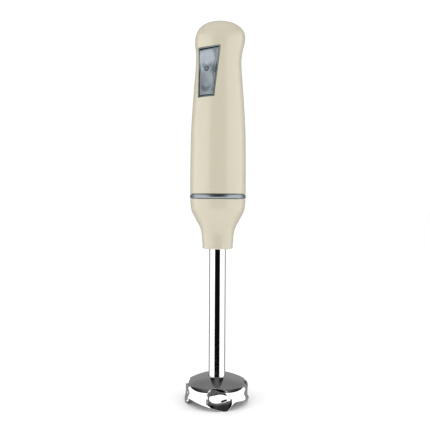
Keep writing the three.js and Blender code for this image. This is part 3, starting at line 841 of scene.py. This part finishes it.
def make_bezel():
    outer_loop = window_outline(BEZEL_GAP)
    inner_loop = grown(outer_loop, -BEZEL_WIDTH)
    lip = 0.25 * MM
    rings = [(outer_loop, 0, BEZEL_DEPTH), (outer_loop, 0, lip + BEZEL_SET_BACK)]
    rings += [(outer_loop, -lip, BEZEL_SET_BACK), (inner_loop, lip, BEZEL_SET_BACK)]
    rings += [(inner_loop, 0, lip + BEZEL_SET_BACK), (inner_loop, 0, BEZEL_DEPTH)]
    loops = []
    for loop, grow, depth in rings:
        at = grown(loop, grow)
        loops.append(front_point(*at.T, np.full(len(at), depth)))
    points, faces = ringed(loops)
    new_piece("button_bezel_lining", points, faces, "smoke_plastic", "handle", ["button_bezel"])


make_bezel()

# %% [markdown]
# ## The rocking button
# The button is a thick moulded plate that fills its frame. Its edge is bevelled all round,
# each half has a shallow dish for a thumb, a low ridge crosses the middle where the mark sits,
# and each side has a notch beside the pivot. A flat drawing is pushed in by a depth worked out
# at each point from its distance to the edge, to the dishes and to the notches.

# %% Button face
lens_low, lens_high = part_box("button_mark_lens")
ROCKER_GAP = 0.28 * MM
ROCKER_SHARE = 0.97  # the length left, so that its ends clear the window as it rocks
ROCKER_FACE = 0.5 * MM  # depth of the crown below the casing's face
ROCKER_EDGE = 3.2 * MM  # depth of the plate's back
BEVEL = 1.3 * MM
BEVEL_DEPTH = 0.95 * MM
BEVEL_ROWS = (0.12, 0.3, 0.55, 0.8, 1.0, 1.4)
MARK_HEIGHT = (lens_low.z + lens_high.z) / 2
MARK_RADIUS = 2.3 * MM


def dish(x, z, middle, half_width, half_height, depth):
    """A shallow oval hollow."""
    away = np.sqrt((x / half_width) ** 2 + ((z - middle) / half_height) ** 2)
    return depth * (1 - eased(away, 0.35, 1.0))


def rocker_depth(points, outline):
    """How far each point of the button's face lies below its crown."""
    x, z = points.T
    edge = distance_to(points, *closed_line(outline))
    depth = BEVEL_DEPTH * (1 - np.clip(edge / BEVEL, 0, 1)) ** 1.3
    depth += dish(x, z, MARK_HEIGHT + 9 * MM, 9.6 * MM, 10.5 * MM, 0.9 * MM)
    depth += dish(x, z, MARK_HEIGHT - 13 * MM, 8.4 * MM, 10.5 * MM, 0.9 * MM)
    notch = 1 - eased(np.abs(z - MARK_HEIGHT - 1 * MM), 3.5 * MM, 6.0 * MM)
    depth += 0.8 * MM * notch * (1 - eased(edge, 0.2 * MM, 2.6 * MM))
    away = np.hypot(x, z - MARK_HEIGHT)
    depth += 0.35 * MM * eased(MARK_RADIUS + 0.25 * MM - away, -0.25 * MM, 0.25 * MM)
    return depth


def flat_plate(outline, rings, step):
    """Points and triangles of a drawn plate, with rows of points along its border and rings."""
    loops = [outline] + [grown(outline, -share * BEVEL) for share in BEVEL_ROWS]
    loops += rings
    edges, first = [], 0
    for loop in loops:
        ids = list(range(first, first + len(loop)))
        edges += list(zip(ids, ids[1:] + ids[:1]))
        first += len(loop)
    low, high = outline.min(0), outline.max(0)
    grid = np.stack(np.meshgrid(np.arange(low[0], high[0], step), np.arange(low[1], high[1], step)), -1)
    grid[1::2, :, 0] += step / 2
    grid = grid.reshape(-1, 2)
    grid = grid[inside(grid, loops[-1 - len(rings)])]
    border = np.concatenate([loops[-1 - len(rings)], *rings])
    gap = np.hypot(*(grid[:, None] - border[None]).transpose(2, 0, 1)).min(1)
    points = np.concatenate([*loops, grid[gap > step * 0.5]])
    flat, triangles = triangulated(points, edges)
    return flat, triangles[inside(flat[triangles].mean(1), outline)]


def make_rocker():
    outline = grown(window_outline(BEZEL_GAP), -BEZEL_WIDTH - ROCKER_GAP)
    outline[:, 1] = MARK_HEIGHT + (outline[:, 1] - MARK_HEIGHT) * ROCKER_SHARE
    ring = round_outline(0, MARK_HEIGHT, MARK_RADIUS, 40)
    rings = [ring, grown(ring, 0.5 * MM)]
    flat, triangles = flat_plate(outline, rings, 0.55 * MM)
    front = front_point(*flat.T, ROCKER_FACE + rocker_depth(flat, outline))
    back = front_point(*flat.T, np.full(len(flat), ROCKER_EDGE))
    points, faces = two_faced(front, back, triangles)
    new_piece("button_rocker_plate", points, faces, "smoke_plastic", "button", ["button_rocker"])


make_rocker()

# %% [markdown]
# ## The mark on the button
# A small round lens sits in a dark ring at the pivot's height and shows which way is which by
# touch. It is a turned piece: a low dome in a narrow ring. One helper makes every turned piece
# here, from a profile of radius and height pairs.

# %% Turned pieces
UPRIGHT = np.eye(3)


def turned(name, profile, finish, body, replaced=(), sides=96, centre=(0, 0, 0), axes=UPRIGHT):
    """A profile of (radius, height) pairs turned round the last of three axes."""
    profile = np.asarray(profile, float)
    on_axis = profile[:, 0] < 1e-7
    across, along, up = axes
    centre = np.asarray(centre, float)
    turn = np.linspace(0, 2 * math.pi, sides, endpoint=False)
    points, rings = [], []
    for (radius, height), single in zip(profile, on_axis):
        angles = turn[:1] if single else turn
        rings.append(np.arange(len(angles)) + len(points))
        foot = centre + height * up
        points += [foot + radius * (math.cos(a) * across + math.sin(a) * along) for a in angles]
    faces = []
    open_ends = not (on_axis[0] and on_axis[-1])
    pairs = list(zip(rings, rings[1:])) + ([(rings[-1], rings[0])] if open_ends else [])
    for low, high in pairs:
        for k in range(sides):
            after = (k + 1) % sides
            corners = [row[at % len(row)] for row, at in ((low, k), (low, after), (high, after), (high, k))]
            corners = list(dict.fromkeys(int(c) for c in corners))
            if len(corners) > 2:
                faces.append(tuple(corners))
    new_piece(name, np.array(points), faces, finish, body, replaced)


def arc(centre, radius, start, end, count=10):
    """Points on a circle between two angles in degrees, as (radius, height) pairs."""
    turn = np.radians(np.linspace(start, end, count))
    return [(centre[0] + radius * math.cos(t), centre[1] + radius * math.sin(t)) for t in turn]


# %% Button mark
def make_mark():
    spot = np.array([[0.0, MARK_HEIGHT]])
    out = surface_normals(casing_surface, *casing_spot(*spot.T).T)[0]
    top = front_point(*spot.T, np.array([0.0]))[0]
    across = np.array([1.0, 0, 0])
    axes = (across, np.cross(out, across), out)
    ring_radius, lens_radius, corner = MARK_RADIUS - 0.1 * MM, 1.25 * MM, 0.2 * MM
    floor, lip = -ROCKER_FACE - 0.9 * MM, -ROCKER_FACE - 0.05 * MM
    ring = [(lens_radius, floor), (ring_radius, floor), (ring_radius, lip - corner)]
    ring += arc((ring_radius - corner, lip - corner), corner, 20, 90, 5)
    ring += arc((lens_radius + corner, lip - corner), corner, 90, 180, 5)
    turned("button_mark_ring", ring, "dark_plastic", "button", sides=64, centre=top, axes=axes)
    edge, rise = lens_radius - 0.05 * MM, 0.15 * MM
    dome = [(0, floor), (edge, floor), (edge, lip - rise)]
    for t in np.linspace(0.1, math.pi / 2 - 0.1, 8):
        dome.append((edge * math.cos(t), lip - rise + 2 * rise * math.sin(t)))
    dome.append((0, lip + rise))
    turned("button_mark_dome", dome, "mark_lens", "button", ["button_mark_lens"], 64, top, axes)


make_mark()

# %% [markdown]
# ## Band, collar and tube
# These three are turned. What makes them look real is at their edges: the band's face is
# slightly crowned and its edges are broken, the collar flows from a wide rim to a small neck,
# and the tube is a plain polished pipe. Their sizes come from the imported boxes. The tube runs a
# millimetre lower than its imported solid, down on to its seat in the guard.

# %% Band
band_low, band_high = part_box("band_ring")
BAND_BORE = 25.5 * MM


def make_band():
    radius, bore = band_high.x, BAND_BORE
    low, high = band_low.z, band_high.z
    middle, crown, edge = (low + high) / 2, 0.35 * MM, 0.35 * MM
    face = []
    for share in np.linspace(-1, 1, 13):
        height = middle + share * ((high - low) / 2 - edge)
        face.append((radius - crown * share**2, height))
    foot = arc((radius - crown - edge, low + edge), edge, -90, -10, 6)
    top = arc((radius - crown - edge, high - edge), edge, 10, 90, 6)
    profile = [(bore, low), *foot, *face, *top, (bore, high)]
    turned("band_ring_turned", profile, "satin_metal", "handle", ["band_ring"], 160)


make_band()

# %% Collar
collar_low, collar_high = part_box("foot_collar")
COLLAR_RADIUS = collar_high.x
COLLAR_KEYS = [(0.551, 0.0407), (0.5549, 0.1276), (0.6147, 0.3824), (0.8073, 0.6037), (0.9521, 0.7669),
               (0.9964, 0.9211), (1.0, 0.99)]


def make_collar():
    height = collar_high.z - collar_low.z
    keys = [(r * COLLAR_RADIUS, collar_low.z + h * height) for r, h in COLLAR_KEYS]
    side = [tuple(p) for p in smooth_line(keys, 90)]
    rim, wall, foot = 0.5 * MM, 2.3 * MM, collar_low.z
    neck, bore = side[0][0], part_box("shaft_tube")[1].x + 0.15 * MM
    foot_round = 1.4 * MM
    outside = arc((neck - foot_round, foot + foot_round), foot_round, -90, -4, 12)
    outside += side[2:-2] + arc((COLLAR_RADIUS - rim, collar_high.z - rim), rim, 4, 90, 6)
    inside_line = [(max(r - wall, bore + 2 * MM), z) for r, z in side[::-6]]
    inside_line = [(COLLAR_RADIUS - wall, collar_high.z), *[p for p in inside_line if p[1] > foot + 8 * MM]]
    inside_line += [(bore, foot + 7 * MM), (bore, foot)]
    turned("foot_collar_turned", outside + inside_line, "cream_plastic", "foot", ["foot_collar"], 160)


make_collar()

# %% Tube
tube_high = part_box("shaft_tube")[1]
TUBE_WALL = 1.0 * MM
GUARD_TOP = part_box("bell_guard")[1].z
TUBE_SEAT = GUARD_TOP - 0.45 * MM


def make_tube():
    radius, bore = tube_high.x, tube_high.x - TUBE_WALL
    heights = np.linspace(TUBE_SEAT, tube_high.z, 41)
    profile = [(radius, z) for z in heights] + [(bore, z) for z in heights[::-1]]
    turned("shaft_tube_drawn", profile, "polished_chrome", "foot", ["shaft_tube"], 192)


make_tube()

# %% [markdown]
# ## The bell guard
# The guard is a pressed steel bell. Its rim rises and falls four times, so that it stands on
# four tips. Between the tips each side has a hooked opening. The tongue inside it stands
# upright, the strip under it is pushed in up to a crease, and the bell above it is pressed a
# little flatter, so that its upright band is wider there. It is the same kind of sheet as the
# casing: drawn flat, rolled on to the bell, then pressed. A mirror finish shows every wobble, so
# the pressing is a formula and not a sculpted one. The inside faces get the dark plastic finish
# instead of chrome, as painted shade inside the bell.

# %% Guard form
GUARD_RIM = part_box("bell_guard")[1].x
SKIRT = GUARD_RIM - 1.1 * MM
DOME_BASE = 13.5 * MM  # height where the upright skirt turns into the dome
GUARD_WALL = 1.5 * MM
GUARD_TURN = 31.5  # degrees the whole guard is turned on the tube
OPENING_TURN = 2.0  # degrees from a quarter to the middle of its opening
SEAM_TURN = 47.0  # degrees to where the sheet's edges meet, between two openings
TIP_END = 18.0  # degrees where a tip ends and the rim climbs
RIM_RISE = 7.6 * MM
CREASE = 22.3  # degrees past an opening where the pushed-in strip ends
STRIP_SLOPE = 0.33
TONGUE_SLOPE = 0.05
TONGUE_FOOT = SKIRT - 0.5 * MM
FLAT_RISE = 3.0 * MM  # how much higher the upright band reaches over an opening
NECK = tube_high.x + 0.35 * MM


def bell_profile():
    """Radius and height up the outside, from the floor to the neck."""
    heights = np.linspace(0, DOME_BASE, 60)
    skirt = SKIRT + (GUARD_RIM - SKIRT) * (1 - eased(heights, 6.8 * MM, 10.8 * MM))
    neck_angle = math.acos(NECK / SKIRT)
    turn = np.linspace(0, neck_angle, 160)[1:]
    rise = (GUARD_TOP - DOME_BASE) / math.sin(neck_angle)
    dome = np.column_stack([SKIRT * np.cos(turn), DOME_BASE + rise * np.sin(turn)])
    return np.vstack([np.column_stack([skirt, heights]), dome])


bell_line = bell_profile()
bell_run = np.concatenate([[0], np.cumsum(np.hypot(*np.diff(bell_line, axis=0).T))])
GUARD_WIDTH = 2 * math.pi * SKIRT


def rim_height(turn):
    """Height of the guard's rim at an angle in degrees, the same in every quarter."""
    past = (turn - TIP_END) % 90
    climb = np.sin(math.pi / 2 * np.clip(past / 18, 0, 1))
    fall = 1 - np.clip((past - 18) / 66, 0, 1) ** 1.4
    return RIM_RISE * np.where(past < 18, climb, fall)


def opening_outline():
    """One hooked opening seen straight on, in millimetres."""
    top = [(-9.9, 15.5), ((-9.2, 20.8), (-2.5, 20.8)), ((5, 20.8), (9.3, 17.9))]
    tongue = [(1.7, 16.8), (-6.1, 15), ((-8.8, 14.2), (-8.8, 11.9)), ((-8.4, 8.1), (-3.4, 7.7))]
    slit = [((2.6, 7.4), (11.4, 11.2)), ((3, 6.1), (-3.4, 6.4)), ((-7.4, 6.4), (-9.9, 6.8))]
    return drawn((-9.9, 6.8), *top, *tongue, *slit, step=0.55) * MM


def slit_height(x):
    """Middle of the slit under the tongue, and its run beyond the slit's end."""
    return 7 * MM + 4.2 * MM * (np.clip(x + 3.4 * MM, 0, None) / (14.8 * MM)) ** 2


def pressing(turn, radius, height):
    """How far the sheet is pushed in (positive) or out, at an angle past an opening."""
    x = radius * np.sin(np.radians(turn))
    soft = 0.02 * MM + 2.2 * MM * eased(x, 11.2 * MM, 12.4 * MM)
    under = eased(slit_height(x) - height, -soft, soft)
    above_rim = np.clip(height - rim_height(turn + OPENING_TURN), 0, None)
    strip = eased(turn, -16, -6) * (1 - eased(turn, CREASE - 1.1, CREASE + 1.1)) * under
    on_tongue = (1 - under) * (x > -9.4 * MM) * (x < 9.3 * MM) * (height < 17.9 * MM)
    overhang = TONGUE_FOOT + TONGUE_SLOPE * (height - 8 * MM) - radius
    return STRIP_SLOPE * above_rim * strip - overhang * on_tongue * (1 - eased(x, 0, 9.3 * MM))


def bell_surface(u, v):
    """Sheet to bell: u runs round from between two openings, v up from the floor."""
    turn = np.degrees(u / SKIRT) + SEAM_TURN
    height = np.interp(v, bell_run, bell_line[:, 1])
    past_opening = (turn - OPENING_TURN + 45) % 90 - 45
    flat = FLAT_RISE * (0.5 + 0.5 * np.cos(np.radians(4 * past_opening)))
    fade = eased(height, 10.8 * MM, 13.5 * MM) * (1 - eased(height, 15 * MM, GUARD_TOP - 0.5 * MM))
    radius = np.interp(height - flat * fade, bell_line[:, 1], bell_line[:, 0])
    radius = radius - pressing(past_opening, radius, height)
    angle = np.radians(turn + GUARD_TURN)
    return np.stack([radius * np.sin(angle), -radius * np.cos(angle), height], axis=-1)


def bell_rim(u):
    turn = np.degrees(np.asarray(u) / SKIRT) + SEAM_TURN
    return np.interp(rim_height(turn), bell_line[:60, 1], bell_run[:60])


def make_guard():
    opening = opening_outline()
    radius = np.interp(opening[:, 1], bell_line[:, 1], bell_line[:, 0])
    turn = np.degrees(np.arcsin(opening[:, 0] / radius))
    v = np.interp(opening[:, 1], bell_line[:, 1], bell_run)
    holes = []
    for quarter in (90, 180, 270, 360):
        u = np.radians(turn + OPENING_TURN + quarter - SEAM_TURN) * SKIRT
        holes.append(np.column_stack([u, v]))
    points, faces = rolled_skin(
        bell_surface, GUARD_WIDTH, bell_rim, level_line(bell_run[-1] - 0.05 * MM),
        holes, 1.15 * MM, 0.28 * MM, GUARD_WALL,
    )
    points[:, 2] = np.maximum(points[:, 2], 0)
    bell = new_piece("bell_guard_pressed", points, faces, "polished_chrome", "foot", ["bell_guard"], sharp=50)
    # painted shade: the inner faces get the dark plastic finish in place of chrome, for the shade inside the
    # bell
    bell.data.materials.append(FINISHES["dark_plastic"])
    outer_count = sum(len(face) == 3 for face in faces) // 2
    for polygon in bell.data.polygons[outer_count : 2 * outer_count]:
        polygon.material_index = 1


make_guard()


def make_hub():
    """The sleeve under the bell that holds the lower bush and the seal."""
    radius, foot, bore = 9.4 * MM, 13.4 * MM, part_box("lower_bush")[1].x + 0.3 * MM
    top, neck = GUARD_TOP - 0.5 * MM, NECK - 0.1 * MM
    profile = [(bore, foot), (radius - 0.5 * MM, foot), (radius, foot + 0.5 * MM), (radius, top - 2.6 * MM),
               (neck, top - 2.2 * MM), (neck, top), (bore, top)]
    turned("guard_hub", profile, "dark_plastic", "foot")


make_hub()

# %% [markdown]
# ## Cord gland
# Where the cord would enter, a soft rubber bush sits in the back of the head. Its flange has a
# rounded rim and lies on the curved casing all round, so the points under the flange take
# their depth from the casing's own surface instead of from a flat plane.

# %% Cord gland
def make_gland():
    bore, neck, flange = 3.5 * MM, 6.0 * MM, gland_high.x
    front, back = gland_low.y, gland_high.y
    rim = 0.8 * MM
    rounded = [(flange - rim + r, back - rim + y) for r, y in arc((0, 0), rim, 0, 90, 7)]
    lip = [(bore + 0.5 * MM - r, back - 0.5 * MM + y) for r, y in arc((0, 0), 0.5 * MM, 90, 0, 6)]
    profile = [(bore, front), (neck, front), (neck, None), (flange - 0.2 * MM, None), *rounded, *lip]
    turn = np.linspace(0, 2 * math.pi, 96, endpoint=False)
    loops = []
    for radius, depth in profile:
        x, z = radius * np.cos(turn), GLAND_HEIGHT + radius * np.sin(turn)
        if depth is None:
            y = casing_surface(*casing_spot(x, z, front=False).T)[:, 1] + 0.05 * MM
        else:
            y = np.full(len(x), depth)
        loops.append(np.column_stack([x, y, z]))
    points, faces = ringed(loops)
    new_piece("cord_gland_moulded", points, faces, "rubber", "handle", ["cord_gland"])


make_gland()

# %% [markdown]
# ## Blade
# The blade is stamped from steel strip. One wing is bent up and the other down, and both long
# sides are ground to an edge. Each wing is a row of cross-sections with eight corners: two flats
# and two ground bevels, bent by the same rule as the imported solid. The nut, the spacer and the
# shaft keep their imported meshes, with broken edges and the same steel.

# %% Blade
blade_low, blade_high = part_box("blade")
BLADE_REACH = 22.2 * MM
BLADE_THICK = 1.2 * MM
TIP_START = 0.9  # where the wing starts to round off, as a share of its length
WING_BEND = 0.012 / MM
BLADE_MIDDLE = (blade_low.z + blade_high.z) / 2


def blade_wing(side):
    """Points of one wing as sections along its length; side is 1 for up and -1 for down."""
    sections = []
    for share in np.linspace(0, 1, 26):
        out = share * BLADE_REACH
        lead = (-5.5 - 0.8 * math.sin(math.pi * min(share * 1.3, 1)) + 4.6 * share**3) * MM
        trail = (5.5 - 3.1 * math.sin(math.pi / 2 * share) + 2.2 * share**4) * MM
        if share > TIP_START:
            squeeze = math.sqrt(max(1 - ((share - TIP_START) / (1 - TIP_START)) ** 2, 0.02))
            middle = (lead + trail) / 2
            lead, trail = middle + (lead - middle) * squeeze, middle + (trail - middle) * squeeze
        rise = side * WING_BEND * max(out - 8 * MM, 0) ** 2
        ground = min(1.8 * MM, (trail - lead) * 0.3) * eased(np.array(out), 5 * MM, 9 * MM) + 0.05 * MM
        half, edge = BLADE_THICK / 2, 0.06 * MM
        section = [(lead, edge), (lead + ground, half), (trail - ground, half), (trail, edge),
                   (trail, -edge), (trail - ground, -half), (lead + ground, -half), (lead, -edge)]
        sections.append([(side * out, side * y, BLADE_MIDDLE + rise + z) for y, z in section])
    return sections


def make_blade():
    wings = [blade_wing(1), blade_wing(-1)]
    turned_over = [[row[k] for k in (3, 2, 1, 0, 7, 6, 5, 4)] for row in wings[1][:0:-1]]
    loops = [np.array(row) for row in [*turned_over, *wings[0][1:]]]
    points, faces = ringed(loops, closed_ends=True)
    count, last = 8, len(loops) - 1
    faces += [tuple(range(count))[::-1], tuple(last * count + k for k in range(count))]
    new_piece("blade_ground", points, faces, "blade_steel", "drive", ["blade"], sharp=20)


make_blade()
for name, width in (("blade_nut", 0.35), ("blade_spacer", 0.2), ("drive_shaft", 0.2)):
    bevel = frame["nodes"][name].modifiers.new("broken_edges", "BEVEL")
    bevel.width = width * MM
    bevel.segments = 3
    bevel.limit_method = "ANGLE"
    frame["nodes"][name].material_slots[0].material = FINISHES["blade_steel"]

# %% [markdown]
# ## Light, floor and space
# A polished surface shows the room. The room here is what a small product studio has: a tall
# soft box on each side, a dark gap in front where the camera stands, a grey ceiling, a grey wall
# behind and a white floor. It is painted by direction from the object, for mirror rays only.
# Matt surfaces get an even soft light instead, and the camera's own view of it is plain white.
# Three soft lamps model the handle a little more.

# %% Studio
world = bpy.data.worlds.new("studio")
bpy.context.scene.world = world
room = Recipe(world, "Background")
GAP_ANGLE = 36  # degrees from the front to the near edge of each soft box
BOX_END_ANGLE = 118  # degrees from the front to its far edge
BOX_TOP = 28.5  # degrees above the horizon
FLOOR_LINE = -19.4  # degrees, where the white floor begins under the dark gap
SOFT_BOX = 1.35
BACKDROP = 1.05


def degrees_ramp(angle, low, high):
    return angle.ramp(math.radians(low), math.radians(high))


def paint_room():
    direction = room.add("ShaderNodeTexCoord", out="Generated")
    ahead, aside, up = (
        room.add("ShaderNodeVectorMath", {"operation": "DOT_PRODUCT"}, {0: direction, 1: axis}, out="Value")
        for axis in (to_eye, to_right, (0, 0, 1))
    )
    round_angle = aside.math("ABSOLUTE").math("ARCTAN2", ahead)
    height = up.math("ARCSINE")
    beside = degrees_ramp(round_angle, GAP_ANGLE - 1.5, GAP_ANGLE + 1.5)
    behind = degrees_ramp(round_angle, BOX_END_ANGLE - 3, BOX_END_ANGLE + 3)
    above_box = degrees_ramp(height, BOX_TOP - 1, BOX_TOP + 1)
    above_floor = degrees_ramp(height, FLOOR_LINE - 0.6, FLOOR_LINE + 0.6)
    high = degrees_ramp(height, 34, 62)
    front = above_floor * (0.004 + 0.1 * degrees_ramp(height, 8, 26)) + (1 - above_floor) * SOFT_BOX
    box = SOFT_BOX * (1 - above_box) + 0.01 * above_box
    rear = 0.27 - 0.1 * degrees_ramp(height, 20, 50)
    level = front * (1 - beside) + beside * ((1 - behind) * box + behind * rear)
    level = level * (1 - high) + high * (0.12 + 0.08 * behind)
    seen = room.add("ShaderNodeLightPath", out="Is Camera Ray")
    mirrored = room.add("ShaderNodeLightPath", out="Is Glossy Ray")
    soft = 0.76 + 0.34 * beside * (1 - behind) + 0.7 * degrees_ramp(height, 45, 75)
    unmirrored = soft * (1 - seen) + BACKDROP * seen
    room.set(Color=(1, 1, 1), Strength=mirrored * level + (1 - mirrored) * unmirrored)


paint_room()


def fill_light(name, azimuth, height, distance, size, power):
    """A big soft lamp that lights the plastic, and doesn't show in polished metal."""
    lamp = bpy.data.lights.new(name, "AREA")
    lamp.shape = "DISK"
    lamp.size = size
    lamp.energy = power
    holder = bpy.data.objects.new(name, lamp)
    turn = VIEW_TURN + math.radians(azimuth)
    holder.location = (distance * math.sin(turn), -distance * math.cos(turn), height)
    aim = Vector((0, 0, HEIGHT * 0.55)) - holder.location
    holder.rotation_euler = aim.to_track_quat("-Z", "Y").to_euler()
    holder.visible_glossy = False
    holder.visible_camera = False
    bpy.context.scene.collection.objects.link(holder)


fill_light("fill_left", azimuth=-55, height=HEIGHT * 1.6, distance=1.3, size=0.8, power=2.5)
fill_light("fill_right", azimuth=75, height=HEIGHT * 1.2, distance=1.3, size=0.8, power=1.6)
fill_light("fill_back", azimuth=160, height=HEIGHT * 2.0, distance=1.5, size=1.0, power=3)


FLOOR_RINGS = (0.15, 0.4, 1.0, 4.0, 20.0)


def make_floor():
    """A wide pale disc; polished metal shows the room instead of it."""
    sides = 96
    turn = np.linspace(0, 2 * math.pi, sides, endpoint=False)
    points, faces = [(0.0, 0.0, 0.0)], []
    for radius in FLOOR_RINGS:
        points += [(radius * math.cos(t), radius * math.sin(t), 0.0) for t in turn]
    for k in range(sides):
        after = (k + 1) % sides
        faces.append((0, 1 + k, 1 + after))
        for low in range(1, len(points) - sides, sides):
            high = low + sides
            faces.append((low + k, high + k, high + after, low + after))
    mesh = bpy.data.meshes.new("floor")
    mesh.from_pydata(points, [], faces)
    floor = bpy.data.objects.new("floor", mesh)
    bpy.context.scene.collection.objects.link(floor)
    paint = new_recipe("pale_floor")
    tone = paint.noise(9, 3).ramp(0.3, 0.7)
    paint.set(
        Base_Color=paint.blend(tone, (0.92, 0.92, 0.92), (0.94, 0.94, 0.94)),
        Roughness=0.9,
        Specular_IOR_Level=0.0,
    )
    mesh.materials.append(paint.owner)
    floor.visible_glossy = False
    print("floor faces:", len(mesh.polygons))


make_floor()

# %% [markdown]
# ## Sizes
# The drawn pieces must not make the blender bigger than its imported model. The imported model's
# box is printed here, in millimetres.

# %% Print the imported box
print("cad box in mm:", [round(v / MM, 2) for v in (*cad_low, *cad_high)])
